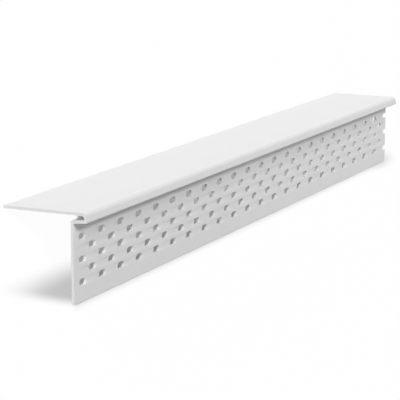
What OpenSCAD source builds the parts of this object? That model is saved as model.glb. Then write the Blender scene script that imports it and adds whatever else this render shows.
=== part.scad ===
// Vinyl L-stop bead: one extruded strip with a plain flange, a hemmed nose and a perforated leg.
// The profile is drawn with the leg upright, then leant back until it stands on its two free edges.

/* [Strip] */
// Length of the strip, along X
strip_length = 304.8; // [60:0.1:610]
// Wall thickness of the extrusion
wall = 1.0; // [0.7:0.01:1.1]
// Radius on the free edges of the flange and the leg
edge_radius = 0.2; // [0.1:0.05:0.3]

/* [Leg] */
// Height of the profile, from the leg's free edge to the top of the flange
profile_height = 31.75; // [31.75:0.05:45]

/* [Flange] */
// Depth of the flange behind the front of the leg
flange_depth = 26.8; // [20:0.1:45]

/* [Nose] */
// How far the nose stands out in front of the leg
nose_depth = 5.4; // [4.5:0.1:9]
// Height of the nose over both of its walls
nose_height = 3.9; // [3.8:0.1:4.8]
// Outer radius of the bend where the flange turns down into the nose
bend_radius = 2.0; // [1.3:0.05:2.1]
// How far the front of the nose leans back, in degrees
front_tilt = 15; // [0:1:20]
// How much higher the arm under the nose is at its front than at the leg
arm_rise = 0.45; // [0:0.05:0.6]
// Radius of the fillet where the arm meets the front of the leg
root_radius = 0.5; // [0.2:0.05:0.8]

/* [Perforation] */
// Distance between neighbouring slots, the same in all three directions of the 60 degree stagger
slot_pitch = 7.8; // [7.5:0.1:8.1]
// Length of a slot over its round ends, along the strip
slot_length = 4.7; // [3.6:0.1:5.5]
// Width of a slot, up the leg
slot_width = 2.3; // [1.8:0.1:3.2]
// Number of rows of slots up the leg
slot_rows = 5; // [1:1:5]
// Centre of the lowest row above the leg's free edge
first_row_height = 6.9; // [4:0.1:8.5]
// Centre of the first column from the end of the strip
first_column_offset = 5.9; // [3.5:0.1:12]

/* [Hidden] */
$fn = 64;
overlap = 0.01;
arm_height = profile_height - nose_height;
half_wall = wall / 2;
leg_joint = [half_wall, arm_height + half_wall];
low_joint = leg_joint + [-nose_depth, arm_rise];
arm_tilt = atan(arm_rise / nose_depth);
bend_middle = bend_radius - half_wall;
front_climb = profile_height - bend_radius - low_joint.y + bend_middle * sin(front_tilt);
front_top = low_joint + front_climb * [tan(front_tilt), 1];
bend_centre = front_top + bend_middle * [cos(front_tilt), -sin(front_tilt)];
root_drop = (root_radius + half_wall) * (1 / cos(arm_tilt) - tan(arm_tilt)) - half_wall;
column_step = slot_pitch * sin(60);
row_step = slot_pitch / 2;
column_count = ceil((strip_length - first_column_offset + slot_length / 2) / column_step);
lean = atan((profile_height - wall) / (flange_depth - wall));
front_depth = edge_radius * (cos(lean) + sin(lean)) - edge_radius;
back_depth = (flange_depth - edge_radius) * cos(lean)
    + (profile_height - edge_radius) * sin(lean) + edge_radius;
middle_depth = (front_depth + back_depth) / 2;
edge_lift = (wall - edge_radius) * sin(lean) - edge_radius * cos(lean) + edge_radius;

// A bar of the profile with both of its corners rounded at the end at [0, 0]
module free_edge(run) {
    translate([edge_radius, 0]) square([wall - 2 * edge_radius, run]);
    translate([0, edge_radius]) square([wall, run - edge_radius]);
    for (across = [edge_radius, wall - edge_radius])
        translate([across, edge_radius]) circle(edge_radius);
}

// A straight stretch of the wall between two points of its middle line
module wall_run(start, finish) {
    along = finish - start;
    translate(start) rotate(atan2(along.y, along.x)) translate([0, -half_wall]) square([norm(along), wall]);
}

// The wide bend from the top of the nose's front into the flange, a little past the start of the flange
module upper_bend() {
    reach = 2 * bend_radius;
    front_end = reach * [-cos(front_tilt), sin(front_tilt)];
    translate(bend_centre) intersection() {
        difference() {
            circle(bend_radius);
            circle(bend_radius - wall);
            square([reach, bend_radius - wall]);
        }
        polygon([[0, 0], [overlap, 0], [overlap, reach], [-reach, reach], front_end]);
    }
}

// Fillet under the arm, at the top of the leg's front face
module root_fillet() {
    translate([-root_radius, arm_height - root_drop]) difference() {
        square([root_radius + overlap, root_drop + half_wall]);
        circle(root_radius);
    }
}

// The whole profile with the leg upright: across is depth from the leg's front face, up is height
module profile() {
    free_edge(leg_joint.y);
    root_fillet();
    for (joint = [leg_joint, low_joint])
        translate(joint) circle(half_wall);
    wall_run(leg_joint, low_joint);
    wall_run(low_joint, front_top);
    upper_bend();
    translate([flange_depth, profile_height - wall]) rotate(90) free_edge(flange_depth - bend_centre.x);
}

// One slot with round ends, centred on [0, 0] and running along the strip
module slot() {
    straight = slot_length - slot_width;
    square([straight, slot_width], center = true);
    for (side = [-1, 1])
        translate([side * straight / 2, 0]) circle(slot_width / 2);
}

// The staggered slots of the leg: even columns take rows 1, 3 and 5, odd ones the rows between
module perforation() {
    for (column = [0 : column_count - 1])
        for (row = [column % 2 : 2 : slot_rows - 1])
            translate([first_column_offset + column * column_step, first_row_height + row * row_step])
                slot();
}

// The strip with its leg upright, its near end at X = 0 and the front of the leg at Y = 0
module upright_strip() {
    difference() {
        rotate([90, 0, 90]) linear_extrude(strip_length) profile();
        translate([0, wall + overlap, 0]) rotate([90, 0, 0])
            linear_extrude(wall + 2 * overlap) perforation();
    }
}

// The strip as it rests: leant back about X onto the free edges of leg and flange, nose upward
module bead() {
    color([0.93, 0.93, 0.92])
        translate([-strip_length / 2, -middle_depth, edge_lift])
            rotate([-lean, 0, 0]) upright_strip();
}

bead();
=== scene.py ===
"""Vinyl L-stop bead: the strip's mesh and finish, its plain studio, and a camera at the photo's angle."""

import math

import bpy
from bpy.props import FloatProperty, FloatVectorProperty, IntProperty, PointerProperty
from mathutils import Matrix, Vector


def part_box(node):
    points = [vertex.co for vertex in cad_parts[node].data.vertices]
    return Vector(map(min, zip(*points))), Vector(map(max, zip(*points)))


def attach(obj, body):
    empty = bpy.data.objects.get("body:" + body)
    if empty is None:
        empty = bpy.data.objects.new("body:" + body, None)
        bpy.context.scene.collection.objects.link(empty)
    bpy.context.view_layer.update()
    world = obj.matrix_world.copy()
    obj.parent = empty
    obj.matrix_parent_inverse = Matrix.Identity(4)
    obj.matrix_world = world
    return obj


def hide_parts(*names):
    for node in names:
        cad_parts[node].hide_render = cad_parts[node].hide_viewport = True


bl_info = {
    "name": "Vinyl L-stop bead",
    "version": (1, 0, 0),
    "blender": (4, 5, 0),
    "location": "3D View > Sidebar > Stop bead",
    "description": "Builds a perforated vinyl L-stop bead around its CAD frame, with studio and camera",
    "category": "Object",
}

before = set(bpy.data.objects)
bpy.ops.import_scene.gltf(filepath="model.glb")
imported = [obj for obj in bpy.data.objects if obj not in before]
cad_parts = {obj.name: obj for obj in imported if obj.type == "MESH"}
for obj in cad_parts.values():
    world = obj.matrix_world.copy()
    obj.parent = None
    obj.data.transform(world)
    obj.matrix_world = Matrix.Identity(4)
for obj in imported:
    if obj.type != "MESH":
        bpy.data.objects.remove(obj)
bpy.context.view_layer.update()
NODE = "bead"
BODY = "root"
NODE_LOW, NODE_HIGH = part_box(NODE)
MM = 0.001

# Steps of a small round corner, of the nose's wide bend, of a slot's soft rim and of a slot's round end
EDGE_STEPS = 6
BEND_STEPS = 24
RIM_STEPS = 3
END_STEPS = 14

# Waves that add up to the die's fine lines: length in mm, phase in radians, share of the relief
DIE_WAVES = ((1.9, 0.5, 1.0), (1.13, 2.1, 0.8), (0.71, 4.0, 0.6), (3.7, 1.2, 1.1))

# Refractive index of the vinyl
VINYL_IOR = 1.52

# Inputs of the node tree that makes the strip, each with its kind of socket
STRIP_INPUTS = {
    "Profile": "NodeSocketGeometry",
    "Strip Length": "NodeSocketFloat",
    "Wall": "NodeSocketFloat",
    "Column Step": "NodeSocketFloat",
    "Row Step": "NodeSocketFloat",
    "First Column": "NodeSocketFloat",
    "First Row": "NodeSocketFloat",
    "Columns": "NodeSocketInt",
    "Rows": "NodeSocketInt",
    "Cutter": "NodeSocketObject",
    "Skin": "NodeSocketMaterial",
    "Sawn": "NodeSocketMaterial",
}


# Sizes, finish, studio and camera that a user may change

class StripSizes(bpy.types.PropertyGroup):
    """Sizes of the extruded profile and of its perforation"""

    strip_length: FloatProperty(
        name="Strip length", description="Length of the strip along X",
        default=NODE_HIGH[0] - NODE_LOW[0], unit="LENGTH", subtype="DISTANCE")
    wall: FloatProperty(
        name="Wall", description="Wall thickness of the extrusion",
        default=1.0 * MM, unit="LENGTH", subtype="DISTANCE")
    profile_height: FloatProperty(
        name="Profile height", description="From the leg's free edge to the top of the flange",
        default=31.75 * MM, unit="LENGTH", subtype="DISTANCE")
    flange_depth: FloatProperty(
        name="Flange depth", description="Depth of the flange behind the front of the leg",
        default=26.8 * MM, unit="LENGTH", subtype="DISTANCE")
    nose_depth: FloatProperty(
        name="Nose depth", description="How far the nose stands out in front of the leg",
        default=5.4 * MM, unit="LENGTH", subtype="DISTANCE")
    nose_height: FloatProperty(
        name="Nose height", description="Height of the nose over both of its walls",
        default=3.9 * MM, unit="LENGTH", subtype="DISTANCE")
    bend_radius: FloatProperty(
        name="Bend radius", description="Outer radius of the bend where the flange turns down into the nose",
        default=2.0 * MM, unit="LENGTH", subtype="DISTANCE")
    front_tilt: FloatProperty(
        name="Front tilt", description="How far the front of the nose leans back",
        default=math.radians(15), unit="ROTATION", subtype="ANGLE")
    arm_rise: FloatProperty(
        name="Arm rise", description="How much higher the nose's arm is at its front than at the leg",
        default=0.45 * MM, unit="LENGTH", subtype="DISTANCE")
    edge_radius: FloatProperty(
        name="Edge radius", description="Radius on the free edges of flange and leg",
        default=0.2 * MM, unit="LENGTH", subtype="DISTANCE")
    root_radius: FloatProperty(
        name="Root radius", description="Fillet where the nose's arm meets the front of the leg",
        default=0.5 * MM, unit="LENGTH", subtype="DISTANCE")
    slot_pitch: FloatProperty(
        name="Slot pitch", description="Distance between neighbouring slots of the 60 degree stagger",
        default=7.8 * MM, unit="LENGTH", subtype="DISTANCE")
    slot_length: FloatProperty(
        name="Slot length", description="Length of a slot over its round ends, along the strip",
        default=4.7 * MM, unit="LENGTH", subtype="DISTANCE")
    slot_width: FloatProperty(
        name="Slot width", description="Width of a slot, up the leg",
        default=2.3 * MM, unit="LENGTH", subtype="DISTANCE")
    slot_rows: IntProperty(
        name="Slot rows", description="Number of rows of slots up the leg", default=5, min=1)
    first_row: FloatProperty(
        name="First row", description="Centre of the lowest row above the leg's free edge",
        default=6.9 * MM, unit="LENGTH", subtype="DISTANCE")
    first_column: FloatProperty(
        name="First column", description="Centre of the first column from the end of the strip",
        default=5.9 * MM, unit="LENGTH", subtype="DISTANCE")
    rim_radius: FloatProperty(
        name="Rim radius", description="Radius of the soft rim round each punched slot",
        default=0.12 * MM, unit="LENGTH", subtype="DISTANCE")
    relief: FloatProperty(
        name="Die line relief", description="Depth of the fine lines that the die leaves along the strip",
        default=0.002 * MM, unit="LENGTH", subtype="DISTANCE")


class VinylFinish(bpy.types.PropertyGroup):
    """Colour and gloss of the white vinyl"""

    skin_colour: FloatVectorProperty(
        name="Skin colour", description="Colour of the extruded surface",
        default=(0.83, 0.83, 0.83), subtype="COLOR", size=3, min=0.0, max=1.0)
    # Lighter than the skin: partly the punched edge's whiter finish, partly painted light on the slot walls
    punched_and_lit_colour: FloatVectorProperty(
        name="Punched colour", description="Colour of the slot walls",
        default=(0.87, 0.87, 0.87), subtype="COLOR", size=3, min=0.0, max=1.0)
    # Darker than the skin: painted shade that tones the sawn ends down; their grain and dull gloss are the
    # sawn finish
    sawn_and_shaded_colour: FloatVectorProperty(
        name="Sawn colour", description="Colour of the two sawn ends",
        default=(0.8, 0.8, 0.8), subtype="COLOR", size=3, min=0.0, max=1.0)
    skin_roughness: FloatProperty(
        name="Skin roughness", description="Roughness of the extruded surface",
        default=0.42, subtype="FACTOR", min=0.0, max=1.0)


class StudioLook(bpy.types.PropertyGroup):
    """Floor, world and lamps"""

    world_level: FloatProperty(
        name="World level", description="Strength of the even light from all round", default=0.08, min=0.0)
    front_level: FloatProperty(
        name="Front level", description="Strength of the lamp in front of the leg", default=1.65, min=0.0)
    end_level: FloatProperty(
        name="End level", description="Strength of the lamp beyond the near end", default=0.95, min=0.0)
    back_level: FloatProperty(
        name="Back level", description="Strength of the broad lamp behind the flange", default=1.24, min=0.0)
    floor_colour: FloatVectorProperty(
        name="Floor colour", description="Colour of the floor",
        default=(0.95, 0.95, 0.95), subtype="COLOR", size=3, min=0.0, max=1.0)
    floor_glow: FloatProperty(
        name="Floor glow", description="Share of plain white in the open floor as the camera sees it",
        default=0.97, subtype="FACTOR", min=0.0, max=1.0)
    # Near and far glow: painted light that lifts the strip's shadow on the floor where the camera sees it
    near_glow: FloatProperty(
        name="Near glow", description="The same share for the floor under the near end of the strip",
        default=0.21, subtype="FACTOR", min=0.0, max=1.0)
    far_glow: FloatProperty(
        name="Far glow", description="The same share for the floor under the far end of the strip",
        default=0.49, subtype="FACTOR", min=0.0, max=1.0)
    # The three shades below are painted on the floor by place, not cast by the lamps
    near_shade: FloatProperty(
        name="Near shade", description="Strength of the soft shade beside the foot of the near end",
        default=0.46, subtype="FACTOR", min=0.0, max=1.0)
    far_shade: FloatProperty(
        name="Far shade", description="Strength of the soft shade beside the foot of the far end",
        default=0.25, subtype="FACTOR", min=0.0, max=1.0)
    slot_shade: FloatProperty(
        name="Slot shade", description="Strength of the shade past the far end, behind the last slots",
        default=0.4, subtype="FACTOR", min=0.0, max=1.0)


class PhotoCamera(bpy.types.PropertyGroup):
    """The camera's place, measured with the leg upright"""

    turn: FloatProperty(
        name="Turn", description="Angle between the strip's length and the direction of view",
        default=math.radians(25.62), unit="ROTATION", subtype="ANGLE")
    pitch: FloatProperty(
        name="Pitch", description="Angle of the view below the plane of the flange",
        default=math.radians(11.38), unit="ROTATION", subtype="ANGLE")
    corner_right: FloatProperty(
        name="Corner right", description="Leg's near bottom corner, to the right of the line of view",
        default=-41.73 * MM, unit="LENGTH", subtype="DISTANCE")
    corner_up: FloatProperty(
        name="Corner up", description="Leg's near bottom corner, above the line of view",
        default=-35.13 * MM, unit="LENGTH", subtype="DISTANCE")
    corner_ahead: FloatProperty(
        name="Corner ahead", description="Leg's near bottom corner, ahead of the camera",
        default=573.9 * MM, unit="LENGTH", subtype="DISTANCE")
    lens: FloatProperty(
        name="Lens", description="Focal length on a 36 mm sensor, in millimetres", default=155.4, min=1.0)


def place_object(name, data):
    """A new object of the scene, made from a mesh, a lamp or a camera."""
    thing = bpy.data.objects.new(name, data)
    bpy.context.collection.objects.link(thing)
    return thing


# The profile, drawn with the leg upright: across is depth from the leg's front face, up is height

def offset(point, distance, degrees):
    """The point at a distance from another, in a direction in degrees."""
    angle = math.radians(degrees)
    return (point[0] + distance * math.cos(angle), point[1] + distance * math.sin(angle))


def arc(centre, radius, start, end, steps):
    """Points of an arc from start to end, in degrees, without its last point."""
    first, turn = math.radians(start), math.radians(end - start) / steps
    angles = [first + turn * i for i in range(steps)]
    return [(centre[0] + radius * math.cos(angle), centre[1] + radius * math.sin(angle)) for angle in angles]


def die_lines(distance, run, relief):
    """Height of the die's fine lines at a distance along a straight run, fading out at both of its ends."""
    fade_run = 2 * MM
    fade = min(1.0, distance / fade_run, (run - distance) / fade_run)
    return relief * fade * sum(share * math.sin(math.tau * distance / (length * MM) + phase)
                               for length, phase, share in DIE_WAVES)


def straight(start, end, relief=0.0, step=0.35 * MM):
    """Points of a straight run from start to end, with die lines across it, without its last point."""
    run = math.dist(start, end)
    count = max(1, round(run / step))
    along = ((end[0] - start[0]) / run, (end[1] - start[1]) / run)
    points = []
    for i in range(count):
        distance = run * i / count
        out = die_lines(distance, run, relief)
        points.append((start[0] + along[0] * distance + along[1] * out,
                       start[1] + along[1] * distance - along[0] * out))
    return points


def nose_joints(sizes):
    """The middle of the wall at both ends of the nose's arm, and the centre of its upper bend."""
    half, tilt = sizes.wall / 2, sizes.front_tilt
    arm = sizes.profile_height - sizes.nose_height
    bend_middle = sizes.bend_radius - half
    leg_joint = (half, arm + half)
    low_joint = (half - sizes.nose_depth, arm + half + sizes.arm_rise)
    climb = sizes.profile_height - sizes.bend_radius - low_joint[1] + bend_middle * math.sin(tilt)
    front_top = (low_joint[0] + climb * math.tan(tilt), low_joint[1] + climb)
    return leg_joint, low_joint, offset(front_top, bend_middle, -math.degrees(tilt))


def profile_outline(sizes):
    """The profile's outline, anticlockwise from the leg's free edge."""
    wall, edge, root, relief = sizes.wall, sizes.edge_radius, sizes.root_radius, sizes.relief
    top, back, bend, half = sizes.profile_height, sizes.flange_depth, sizes.bend_radius, sizes.wall / 2
    leg_joint, low_joint, bend_centre = nose_joints(sizes)

    # Directions in degrees: out of the arm's two faces, out of and into the nose's front, and up the front
    slope = math.atan2(sizes.arm_rise, sizes.nose_depth)
    tilt_degrees, slope_degrees = math.degrees(sizes.front_tilt), math.degrees(slope)
    arm_up, arm_down = 90 - slope_degrees, 270 - slope_degrees
    front_out, front_in, front_up = 180 - tilt_degrees, -tilt_degrees, 90 - tilt_degrees

    # Inner corner between arm and front, and centre of the fillet where the arm meets the leg's front face
    corner_run = half / math.tan(math.radians(90 + slope_degrees - tilt_degrees) / 2)
    inner_corner = offset(offset(low_joint, half, front_in), corner_run, front_up)
    arm_under = leg_joint[1] + (half + root) * math.tan(slope) - half / math.cos(slope)
    fillet = (-root, arm_under - root / math.cos(slope))

    # Free edge and back of the leg
    points = straight((edge, 0), (wall - edge, 0))
    points += arc((wall - edge, edge), edge, -90, 0, EDGE_STEPS)
    points += straight((wall, edge), (wall, leg_joint[1]), relief)

    # Channel inside the nose
    points += arc(leg_joint, half, 0, arm_up, EDGE_STEPS)
    points += straight(offset(leg_joint, half, arm_up), inner_corner)
    points += straight(inner_corner, offset(bend_centre, bend - wall, front_out))
    points += arc(bend_centre, bend - wall, front_out, 90, BEND_STEPS)

    # Underside, free edge and top of the flange
    points += straight((bend_centre[0], top - wall), (back - edge, top - wall), relief)
    points += arc((back - edge, top - wall + edge), edge, -90, 0, EDGE_STEPS)
    points += straight((back, top - wall + edge), (back, top - edge))
    points += arc((back - edge, top - edge), edge, 0, 90, EDGE_STEPS)
    points += straight((back - edge, top), (bend_centre[0], top), relief)

    # Outside of the nose: upper bend, front, lower bend and arm
    points += arc(bend_centre, bend, 90, front_out, BEND_STEPS)
    points += straight(offset(bend_centre, bend, front_out), offset(low_joint, half, front_out))
    points += arc(low_joint, half, front_out, arm_down, 2 * EDGE_STEPS)
    points += straight(offset(low_joint, half, arm_down), offset(fillet, root, arm_up))

    # Fillet and front of the leg
    points += arc(fillet, root, arm_up, 0, EDGE_STEPS)
    points += straight((0, fillet[1]), (0, edge), relief)
    points += arc((edge, edge), edge, 180, 270, EDGE_STEPS)
    return points


def upright_to_floor(sizes):
    """The move that leans the upright strip back until it stands on its two free edges."""
    wall, edge = sizes.wall, sizes.edge_radius
    lean = math.atan2(sizes.profile_height - wall, sizes.flange_depth - wall)
    cos, sin = math.cos(lean), math.sin(lean)
    front = edge * (cos + sin) - edge
    back = (sizes.flange_depth - edge) * cos + (sizes.profile_height - edge) * sin + edge
    lift = (wall - edge) * sin - edge * cos + edge
    shift = Matrix.Translation((-sizes.strip_length / 2, -(front + back) / 2, lift))
    return shift @ Matrix.Rotation(-lean, 4, "X")


# Nodes

def feed(tree, node, inputs):
    """Link each named or numbered input of a node to a socket, or set it to a value."""
    for name, value in inputs.items():
        if isinstance(value, bpy.types.NodeSocket):
            tree.links.new(value, node.inputs[name])
        else:
            node.inputs[name].default_value = value


def add_node(tree, kind, inputs=None, **settings):
    """A new node of a tree, with its properties set and its inputs fed."""
    node = tree.nodes.new(kind)
    for name, value in settings.items():
        setattr(node, name, value)
    feed(tree, node, inputs or {})
    return node


def maths(tree, operation, *values):
    """The result of an operation on numbers and sockets."""
    return add_node(tree, "ShaderNodeMath", dict(enumerate(values)), operation=operation).outputs[0]


def product(tree, level, *others):
    """The product of several levels."""
    for other in others:
        level = maths(tree, "MULTIPLY", level, other)
    return level


def highest(tree, level, *others):
    """The highest of several levels."""
    for other in others:
        level = maths(tree, "MAXIMUM", level, other)
    return level


def ramp(tree, value, start, end, low=0.0, high=1.0, shape="SMOOTHSTEP"):
    """A level that goes from low to high while the value goes from start to end."""
    limits = {"From Min": start, "From Max": end, "To Min": low, "To Max": high}
    node = add_node(tree, "ShaderNodeMapRange", {"Value": value, **limits}, interpolation_type=shape)
    return node.outputs["Result"]


# Finish

def new_material(name):
    """An empty node material, its tree and its shader."""
    material = bpy.data.materials.new(name)
    material.use_nodes = True
    return material, material.node_tree, material.node_tree.nodes["Principled BSDF"]


def noise(tree, place, values):
    """A noise pattern that is read at a place."""
    return add_node(tree, "ShaderNodeTexNoise", {"Vector": place, **values}).outputs["Fac"]


def varied(tree, pattern, colour, darkest, lightest):
    """A colour that a pattern varies between two multiples of it."""
    # The mix node's sockets by number, because their names repeat
    factor, first_colour, second_colour, mixed_colour = 0, 6, 7, 2
    mix = add_node(tree, "ShaderNodeMix", {
        factor: pattern,
        first_colour: (*[darkest * part for part in colour], 1.0),
        second_colour: (*[min(1.0, lightest * part) for part in colour], 1.0),
    }, data_type="RGBA")
    return mix.outputs[mixed_colour]


def raised(tree, pattern, strength, height):
    """The surface's direction where a pattern raises it."""
    return add_node(tree, "ShaderNodeBump", {
        "Height": pattern, "Strength": strength, "Distance": height}).outputs["Normal"]


def vinyl_skin(finish):
    """White vinyl as the die leaves it: fine lines along the strip and a faint mottle."""
    lines_along, lines_across = 2.0, 900.0
    gloss_change = 0.06
    material, tree, shader = new_material("Extruded vinyl skin")
    place = add_node(tree, "ShaderNodeTexCoord").outputs["Object"]
    drawn = add_node(tree, "ShaderNodeMapping", {
        "Vector": place, "Scale": (lines_along, lines_across, lines_across)}).outputs["Vector"]
    lines = noise(tree, drawn, {"Scale": 1.0, "Detail": 3.0, "Roughness": 0.55})
    mottle = noise(tree, place, {"Scale": 90.0, "Detail": 2.0})
    feed(tree, shader, {
        "Base Color": varied(tree, mottle, finish.skin_colour, darkest=0.985, lightest=1.015),
        "Roughness": ramp(tree, lines, 0.0, 1.0, finish.skin_roughness - gloss_change,
                          finish.skin_roughness + gloss_change, "LINEAR"),
        "Normal": raised(tree, lines, strength=0.15, height=0.02 * MM),
        "IOR": VINYL_IOR,
    })
    return material


def cut_vinyl(name, colour):
    """White vinyl where a saw or a punch went through it: duller than the skin, with a fine grain. Its colour
    is given: darker than the skin on the sawn ends, a painted shade, and lighter on the slot walls, partly
    painted light.
    """
    material, tree, shader = new_material(name)
    place = add_node(tree, "ShaderNodeTexCoord").outputs["Object"]
    grain = noise(tree, place, {"Scale": 2600.0, "Detail": 3.0})
    feed(tree, shader, {
        "Base Color": varied(tree, grain, colour, darkest=0.96, lightest=1.03),
        "Roughness": 0.62,
        "Normal": raised(tree, grain, strength=0.3, height=0.04 * MM),
        "IOR": VINYL_IOR,
    })
    return material


# The strip

def profile_wire(sizes):
    """The profile's outline as one closed loop of edges in the plane Z = 0."""
    points = profile_outline(sizes)
    count = len(points)
    mesh = bpy.data.meshes.new("Profile")
    mesh.from_pydata([(x, y, 0.0) for x, y in points], [(i, (i + 1) % count) for i in range(count)], [])
    return place_object("Profile", mesh)


def rim_levels(sizes):
    """Depth and flare of the cutter's rings from the wall's middle out: a round rim, then past the face."""
    rim, beyond_face, lean = sizes.rim_radius, 0.25 * MM, math.radians(66)
    start = sizes.wall / 2 - rim * math.sin(lean)
    turns = [lean * i / RIM_STEPS for i in range(RIM_STEPS + 1)]
    levels = [(start + rim * math.sin(turn), rim * (1 - math.cos(turn))) for turn in turns]
    depth, flare = levels[-1]
    return levels + [(depth + beyond_face * math.cos(lean), flare + beyond_face * math.sin(lean))]


def slot_ring(half_run, radius, depth):
    """Points of one ring of the cutter, round both ends of the slot."""
    ring = []
    for side, first in ((1, -90), (-1, 90)):
        for i in range(END_STEPS + 1):
            angle = math.radians(first + 180 * i / END_STEPS)
            ring.append((side * half_run + radius * math.cos(angle), radius * math.sin(angle), depth))
    return ring


def slot_cutter(sizes, material):
    """The solid that cuts one slot: a prism with round ends that flares where it leaves each face."""
    radius = sizes.slot_width / 2
    half_run = (sizes.slot_length - sizes.slot_width) / 2
    outer = rim_levels(sizes)
    levels = [(-depth, flare) for depth, flare in reversed(outer)] + outer
    corners, faces = [], []
    for depth, flare in levels:
        corners += slot_ring(half_run, radius + flare, depth)
    count = 2 * (END_STEPS + 1)
    for level in range(len(levels) - 1):
        for i in range(count):
            a, b = level * count + i, level * count + (i + 1) % count
            faces.append((a, b, b + count, a + count))
    faces.append(tuple(reversed(range(count))))
    faces.append(tuple(range((len(levels) - 1) * count, len(levels) * count)))
    mesh = bpy.data.meshes.new("Slot cutter")
    mesh.from_pydata(corners, [], faces)
    mesh.materials.append(material)
    return place_object("Slot cutter", mesh)


def drawn_strip(tree, given):
    """The profile filled and drawn out along Z, then turned so that its length is X and its height Z."""
    weld = 0.001 * MM
    outline = add_node(tree, "GeometryNodeMeshToCurve", {"Mesh": given["Profile"]})
    flat = add_node(tree, "GeometryNodeFillCurve", {"Curve": outline.outputs[0]}, mode="NGONS")
    reach = add_node(tree, "ShaderNodeCombineXYZ", {"Z": given["Strip Length"]})
    drawn = add_node(tree, "GeometryNodeExtrudeMesh", {
        "Mesh": flat.outputs[0], "Offset": reach.outputs[0], "Individual": False}, mode="FACES")
    start_face = add_node(tree, "GeometryNodeFlipFaces", {"Mesh": flat.outputs[0]})
    shell = add_node(tree, "GeometryNodeJoinGeometry", {"Geometry": drawn.outputs["Mesh"]})
    feed(tree, shell, {"Geometry": start_face.outputs[0]})
    sealed = add_node(tree, "GeometryNodeMergeByDistance", {
        "Geometry": shell.outputs[0], "Distance": weld})
    turned = add_node(tree, "GeometryNodeTransform", {
        "Geometry": sealed.outputs[0], "Rotation": (math.radians(90), 0, math.radians(90))})
    skinned = add_node(tree, "GeometryNodeSetMaterial", {
        "Geometry": turned.outputs[0], "Material": given["Skin"]})
    return skinned.outputs[0]


def slot_points(tree, given):
    """A point for each slot: the places of a plain grid whose column and row add up to an even number."""
    index = add_node(tree, "GeometryNodeInputIndex").outputs[0]
    column = maths(tree, "FLOOR", maths(tree, "DIVIDE", index, given["Rows"]))
    row = maths(tree, "SUBTRACT", index, product(tree, column, given["Rows"]))
    odd = maths(tree, "MODULO", maths(tree, "ADD", column, row), 2)
    place = add_node(tree, "ShaderNodeCombineXYZ", {
        "X": maths(tree, "ADD", given["First Column"], product(tree, column, given["Column Step"])),
        "Y": product(tree, given["Wall"], 0.5),
        "Z": maths(tree, "ADD", given["First Row"], product(tree, row, given["Row Step"]))})
    grid = add_node(tree, "GeometryNodePoints", {
        "Count": product(tree, given["Columns"], given["Rows"]), "Position": place.outputs[0]})
    stagger = add_node(tree, "GeometryNodeDeleteGeometry", {
        "Geometry": grid.outputs[0], "Selection": odd}, domain="POINT")
    return stagger.outputs[0]


def punched_leg(tree, given, strip):
    """The strip with its slots cut through the leg."""
    cutter = add_node(tree, "GeometryNodeObjectInfo", {"Object": given["Cutter"]}, transform_space="ORIGINAL")
    slots = add_node(tree, "GeometryNodeInstanceOnPoints", {
        "Points": slot_points(tree, given), "Instance": cutter.outputs["Geometry"],
        "Rotation": (math.radians(90), 0, 0)})
    cutters = add_node(tree, "GeometryNodeRealizeInstances", {"Geometry": slots.outputs[0]})
    punched = add_node(tree, "GeometryNodeMeshBoolean", {
        "Mesh 1": strip, "Mesh 2": cutters.outputs[0]}, operation="DIFFERENCE", solver="MANIFOLD")
    return punched.outputs["Mesh"]


def smooth_bends(tree, strip):
    """The strip with its bends shaded smooth and its corners left crisp."""
    crisp_angle = math.radians(28)
    angle = add_node(tree, "GeometryNodeInputMeshEdgeAngle").outputs["Unsigned Angle"]
    corner = maths(tree, "GREATER_THAN", angle, crisp_angle)
    crisp = add_node(tree, "GeometryNodeSetShadeSmooth", {
        "Geometry": strip, "Selection": corner, "Shade Smooth": False}, domain="EDGE")
    smooth = add_node(tree, "GeometryNodeSetShadeSmooth", {
        "Geometry": crisp.outputs[0], "Shade Smooth": True}, domain="FACE")
    return smooth.outputs[0]


def sawn_ends(tree, given, strip):
    """The strip as plain mesh, with the sawn finish on the faces that look along X."""
    square_on = 0.999
    normal = add_node(tree, "GeometryNodeInputNormal").outputs[0]
    facing = add_node(tree, "ShaderNodeSeparateXYZ", {"Vector": normal})
    sawn = maths(tree, "GREATER_THAN", maths(tree, "ABSOLUTE", facing.outputs["X"]), square_on)
    real = add_node(tree, "GeometryNodeRealizeInstances", {"Geometry": strip})
    finished = add_node(tree, "GeometryNodeSetMaterial", {
        "Geometry": real.outputs[0], "Selection": sawn, "Material": given["Sawn"]})
    return finished.outputs[0]


def strip_tree():
    """The node tree that draws the profile out and perforates its leg, and its inputs' identifiers."""
    tree = bpy.data.node_groups.new("Perforated strip", "GeometryNodeTree")
    sockets = {}
    for name, kind in STRIP_INPUTS.items():
        sockets[name] = tree.interface.new_socket(name=name, in_out="INPUT", socket_type=kind).identifier
    tree.interface.new_socket(name="Strip", in_out="OUTPUT", socket_type="NodeSocketGeometry")
    given = add_node(tree, "NodeGroupInput").outputs
    punched = punched_leg(tree, given, drawn_strip(tree, given))
    finished = sawn_ends(tree, given, smooth_bends(tree, punched))
    add_node(tree, "NodeGroupOutput", {"Strip": finished})
    return tree, sockets


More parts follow.
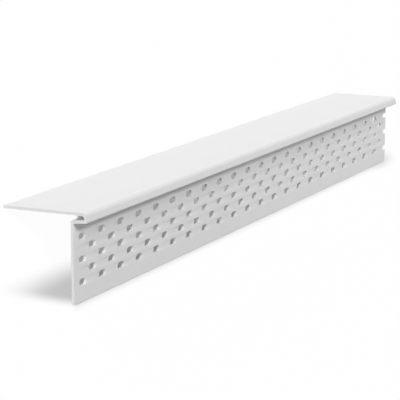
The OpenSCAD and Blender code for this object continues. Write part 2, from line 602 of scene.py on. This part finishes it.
def build_strip(sizes, finish):
    """The strip as one plain mesh, leant onto its free edges."""
    # Cut vinyl colours: painted shade on the sawn ends, partly painted light on the slot walls
    skin, sawn = vinyl_skin(finish), cut_vinyl("Sawn vinyl end", finish.sawn_and_shaded_colour)
    profile = profile_wire(sizes)
    cutter = slot_cutter(sizes, cut_vinyl("Punched vinyl edge", finish.punched_and_lit_colour))
    tree, sockets = strip_tree()
    stagger_angle = math.radians(60)
    column_step = sizes.slot_pitch * math.sin(stagger_angle)
    perforated_run = sizes.strip_length - sizes.first_column + sizes.slot_length / 2
    values = {
        "Strip Length": sizes.strip_length, "Wall": sizes.wall,
        "Column Step": column_step, "Row Step": sizes.slot_pitch / 2,
        "First Column": sizes.first_column, "First Row": sizes.first_row,
        "Columns": math.ceil(perforated_run / column_step), "Rows": sizes.slot_rows,
        "Cutter": cutter, "Skin": skin, "Sawn": sawn,
    }
    modifier = profile.modifiers.new("Perforated strip", "NODES")
    modifier.node_group = tree
    for name, value in values.items():
        modifier[sockets[name]] = value
    graph = bpy.context.evaluated_depsgraph_get()
    mesh = bpy.data.meshes.new_from_object(profile.evaluated_get(graph))
    mesh.transform(upright_to_floor(sizes))
    mesh.name = "stop_bead"
    for helper in (profile, cutter):
        bpy.data.objects.remove(helper)
    return place_object("stop_bead", mesh)


# Studio, with places on its floor as distances along the strip, past its far end and behind the leg's foot

def seen_ray(tree):
    """1 for what the camera sees, also in gloss and through glass, 0 for the light that falls on things."""
    ray = add_node(tree, "ShaderNodeLightPath").outputs
    return highest(tree, ray["Is Camera Ray"], ray["Is Glossy Ray"], ray["Is Transmission Ray"])


def past_near_end(tree, along, behind):
    """1 on the floor that is seen past the near end of the strip."""
    slope, blur = 1.2, 4 * MM
    return ramp(tree, maths(tree, "SUBTRACT", product(tree, behind, slope), along), -blur, 0)


def past_far_end(tree, past):
    """1 on the floor past the far end of the strip."""
    blur = 2 * MM
    return ramp(tree, past, -blur, blur)


def beside_far_end(tree, past, behind):
    """1 on the floor seen beside the leg's far end, 0 on what shows only through its last slots."""
    slope, blur = 1.9, 4 * MM
    return ramp(tree, maths(tree, "SUBTRACT", past, product(tree, behind, slope)), -blur, 0)


def open_floor(tree, along, past, behind):
    """1 where the floor is open to the camera, 0 under the strip."""
    front_start, front_end = 0.7 * MM, -2.4 * MM
    back_start, back_end = 39 * MM, 42 * MM
    return highest(
        tree,
        ramp(tree, behind, front_start, front_end),
        ramp(tree, behind, back_start, back_end),
        past_near_end(tree, along, behind),
        beside_far_end(tree, past, behind),
        past_far_end(tree, past))


def near_shade(tree, along, behind):
    """The soft painted shade that spreads from the foot of the near end: broad at the foot, and gone 46 mm
    out.
    """
    slope, reach = 0.42, 46 * MM
    lower_start, lower_end = -1.1 * MM, 4.8 * MM
    upper_start, upper_end = 17.3 * MM, 7.1 * MM
    above_slope = maths(tree, "ADD", behind, product(tree, along, slope))
    return product(
        tree,
        ramp(tree, above_slope, lower_start, lower_end),
        ramp(tree, behind, upper_start, upper_end),
        ramp(tree, along, -reach, 0),
        past_near_end(tree, along, behind))


def far_shade(tree, past, behind):
    """The small soft patch of painted shade at the foot of the far end."""
    centre_past, centre_behind = -3.8 * MM, 1.3 * MM
    reach_past, reach_behind = 26 * MM, 5.9 * MM
    aside = maths(tree, "DIVIDE", maths(tree, "SUBTRACT", past, centre_past), reach_past)
    across = maths(tree, "DIVIDE", maths(tree, "SUBTRACT", behind, centre_behind), reach_behind)
    square = maths(tree, "ADD", product(tree, aside, aside), product(tree, across, across))
    return ramp(tree, maths(tree, "SQRT", square), 1, 0)


def slot_shade(tree, past, behind):
    """The painted shade past the far end that shows through the last slots, gone 42 mm out."""
    fade_start, fade_end = 4 * MM, 42 * MM
    low_start, low_end = -0.7 * MM, 0
    high_start, high_end = 26 * MM, 30 * MM
    return product(
        tree,
        past_far_end(tree, past),
        ramp(tree, past, fade_end, fade_start),
        ramp(tree, behind, low_start, low_end),
        ramp(tree, behind, high_end, high_start),
        maths(tree, "SUBTRACT", 1.0, beside_far_end(tree, past, behind)))


def under_strip(tree, along, behind, look, sizes):
    """Share of plain white under the strip, painted light that lifts the strip's shadow: lowest at the foot
    of the leg and near the near end.
    """
    foot_share, foot_reach = 0.4, 22 * MM
    along_strip = ramp(tree, along, 0, sizes.strip_length, look.near_glow, look.far_glow, "LINEAR")
    from_foot = ramp(tree, behind, 0, foot_reach, foot_share, 1.0, "LINEAR")
    return product(tree, along_strip, from_foot)


def pale_floor(look, sizes):
    """A pale matt floor that the camera sees mostly as plain white, with the shade left under the strip and
    lifted there by painted light, and with soft painted shades by the strip's feet and past its far end.
    """
    material, tree, shader = new_material("Pale floor")
    feed(tree, shader, {"Base Color": (*look.floor_colour, 1.0), "Roughness": 0.9, "Specular IOR Level": 0.0})

    foot = upright_to_floor(sizes) @ Vector((0, 0, 0))
    place = add_node(tree, "ShaderNodeTexCoord").outputs["Object"]
    spot = add_node(tree, "ShaderNodeSeparateXYZ", {"Vector": place}).outputs
    along = maths(tree, "SUBTRACT", spot["X"], foot.x)
    past = maths(tree, "SUBTRACT", along, sizes.strip_length)
    behind = maths(tree, "SUBTRACT", spot["Y"], foot.y)

    open_share = product(tree, open_floor(tree, along, past, behind), look.floor_glow)
    share = highest(tree, open_share, under_strip(tree, along, behind, look, sizes))
    # Painted shade: the white that the camera sees is darkened by place on the floor beside the feet and past
    # the far end, not by the lamps
    shade = highest(
        tree,
        product(tree, near_shade(tree, along, behind), look.near_shade),
        product(tree, far_shade(tree, past, behind), look.far_shade),
        product(tree, slot_shade(tree, past, behind), look.slot_shade))
    glow = add_node(tree, "ShaderNodeEmission", {"Strength": maths(tree, "SUBTRACT", 1.0, shade)})
    mix = add_node(tree, "ShaderNodeMixShader", {
        0: product(tree, seen_ray(tree), share), 1: shader.outputs[0], 2: glow.outputs[0]})
    feed(tree, tree.nodes["Material Output"], {"Surface": mix.outputs[0]})
    return material


def white_world(look):
    """A world that gives a faint even light and is plain white where it is seen."""
    white = (1, 1, 1, 1)
    world = bpy.data.worlds.new("Studio")
    world.use_nodes = True
    tree = world.node_tree
    even = tree.nodes["Background"]
    feed(tree, even, {"Color": white, "Strength": look.world_level})
    seen = add_node(tree, "ShaderNodeBackground", {"Color": white, "Strength": 1.0})
    mix = add_node(tree, "ShaderNodeMixShader", {0: seen_ray(tree), 1: even.outputs[0], 2: seen.outputs[0]})
    feed(tree, tree.nodes["World Output"], {"Surface": mix.outputs[0]})
    return world


def square_floor(half_side, material):
    """A square of floor at height 0."""
    corners = [(-half_side, -half_side, 0), (half_side, -half_side, 0),
               (half_side, half_side, 0), (-half_side, half_side, 0)]
    mesh = bpy.data.meshes.new("Floor")
    mesh.from_pydata(corners, [], [(0, 1, 2, 3)])
    mesh.materials.append(material)
    return place_object("Floor", mesh)


def sun(sizes, name, level, side, height, spread):
    """A sun lamp for the upright strip, side degrees from straight in front towards the near end."""
    lamp = bpy.data.lights.new(name, "SUN")
    lamp.energy = level
    lamp.angle = math.radians(spread)
    aside, above = math.radians(side), math.radians(height)
    toward = Vector((-math.sin(aside) * math.cos(above), -math.cos(aside) * math.cos(above), math.sin(above)))
    direction = upright_to_floor(sizes).to_3x3() @ toward
    thing = place_object(name, lamp)
    thing.rotation_euler = direction.to_track_quat("Z", "Y").to_euler()
    thing.location = direction


# Operators

class BEAD_OT_strip(bpy.types.Operator):
    """Build the perforated strip with its vinyl finish in place of the CAD node"""

    bl_idname = "bead.strip"
    bl_label = "Build strip"

    def execute(self, context):
        strip = build_strip(context.scene.strip_sizes, context.scene.vinyl_finish)
        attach(strip, BODY)
        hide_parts(NODE)
        return {"FINISHED"}


class BEAD_OT_studio(bpy.types.Operator):
    """Lay the pale floor and set the world and the lamps"""

    bl_idname = "bead.studio"
    bl_label = "Set studio"

    def execute(self, context):
        look, sizes = context.scene.studio_look, context.scene.strip_sizes
        floor = square_floor(half_side=3.0, material=pale_floor(look, sizes))
        context.scene.world = white_world(look)
        sun(sizes, "Front", look.front_level, side=25, height=33, spread=14)
        sun(sizes, "End", look.end_level, side=60, height=38, spread=14)
        sun(sizes, "Back", look.back_level, side=180, height=60, spread=50)
        context.scene.view_settings.view_transform = "Standard"
        return {"FINISHED"}


class BEAD_OT_camera(bpy.types.Operator):
    """Stand the camera at the photograph's place relative to the strip"""

    bl_idname = "bead.camera"
    bl_label = "Set camera"

    def execute(self, context):
        view = context.scene.photo_camera
        cos_turn, sin_turn = math.cos(view.turn), math.sin(view.turn)
        cos_pitch, sin_pitch = math.cos(view.pitch), math.sin(view.pitch)
        right = Vector((sin_turn, -cos_turn, 0))
        ahead = Vector((cos_pitch * cos_turn, cos_pitch * sin_turn, -sin_pitch))
        up = right.cross(ahead)
        place = -(right * view.corner_right + up * view.corner_up + ahead * view.corner_ahead)
        axes = Matrix((right, up, -ahead)).transposed().to_4x4()
        lens = bpy.data.cameras.new("Photo camera")
        lens.lens = view.lens
        lens.sensor_width = 36
        lens.clip_start, lens.clip_end = 0.01, 20
        camera = place_object("Photo camera", lens)
        camera.matrix_world = upright_to_floor(context.scene.strip_sizes) @ Matrix.Translation(place) @ axes
        context.scene.camera = camera
        return {"FINISHED"}


class BEAD_PT_panel(bpy.types.Panel):
    """The steps that build the bead and its scene"""

    bl_label = "Stop bead"
    bl_idname = "BEAD_PT_panel"
    bl_space_type = "VIEW_3D"
    bl_region_type = "UI"
    bl_category = "Stop bead"

    def draw(self, context):
        for step in STEPS:
            self.layout.operator(step.bl_idname)


GROUPS = {"strip_sizes": StripSizes, "vinyl_finish": VinylFinish,
          "studio_look": StudioLook, "photo_camera": PhotoCamera}
STEPS = (BEAD_OT_camera, BEAD_OT_strip, BEAD_OT_studio)


def register():
    """Add the groups of sizes, the steps and the panel."""
    for name, group in GROUPS.items():
        bpy.utils.register_class(group)
        setattr(bpy.types.Scene, name, PointerProperty(type=group))
    for step in (*STEPS, BEAD_PT_panel):
        bpy.utils.register_class(step)


def unregister():
    """Take the groups of sizes, the steps and the panel away again."""
    for step in reversed((*STEPS, BEAD_PT_panel)):
        bpy.utils.unregister_class(step)
    for name, group in GROUPS.items():
        delattr(bpy.types.Scene, name)
        bpy.utils.unregister_class(group)


def main():
    """Register the add-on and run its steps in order."""
    register()
    bpy.ops.bead.camera()
    bpy.ops.bead.strip()
    bpy.ops.bead.studio()


if __name__ == "__main__":
    main()
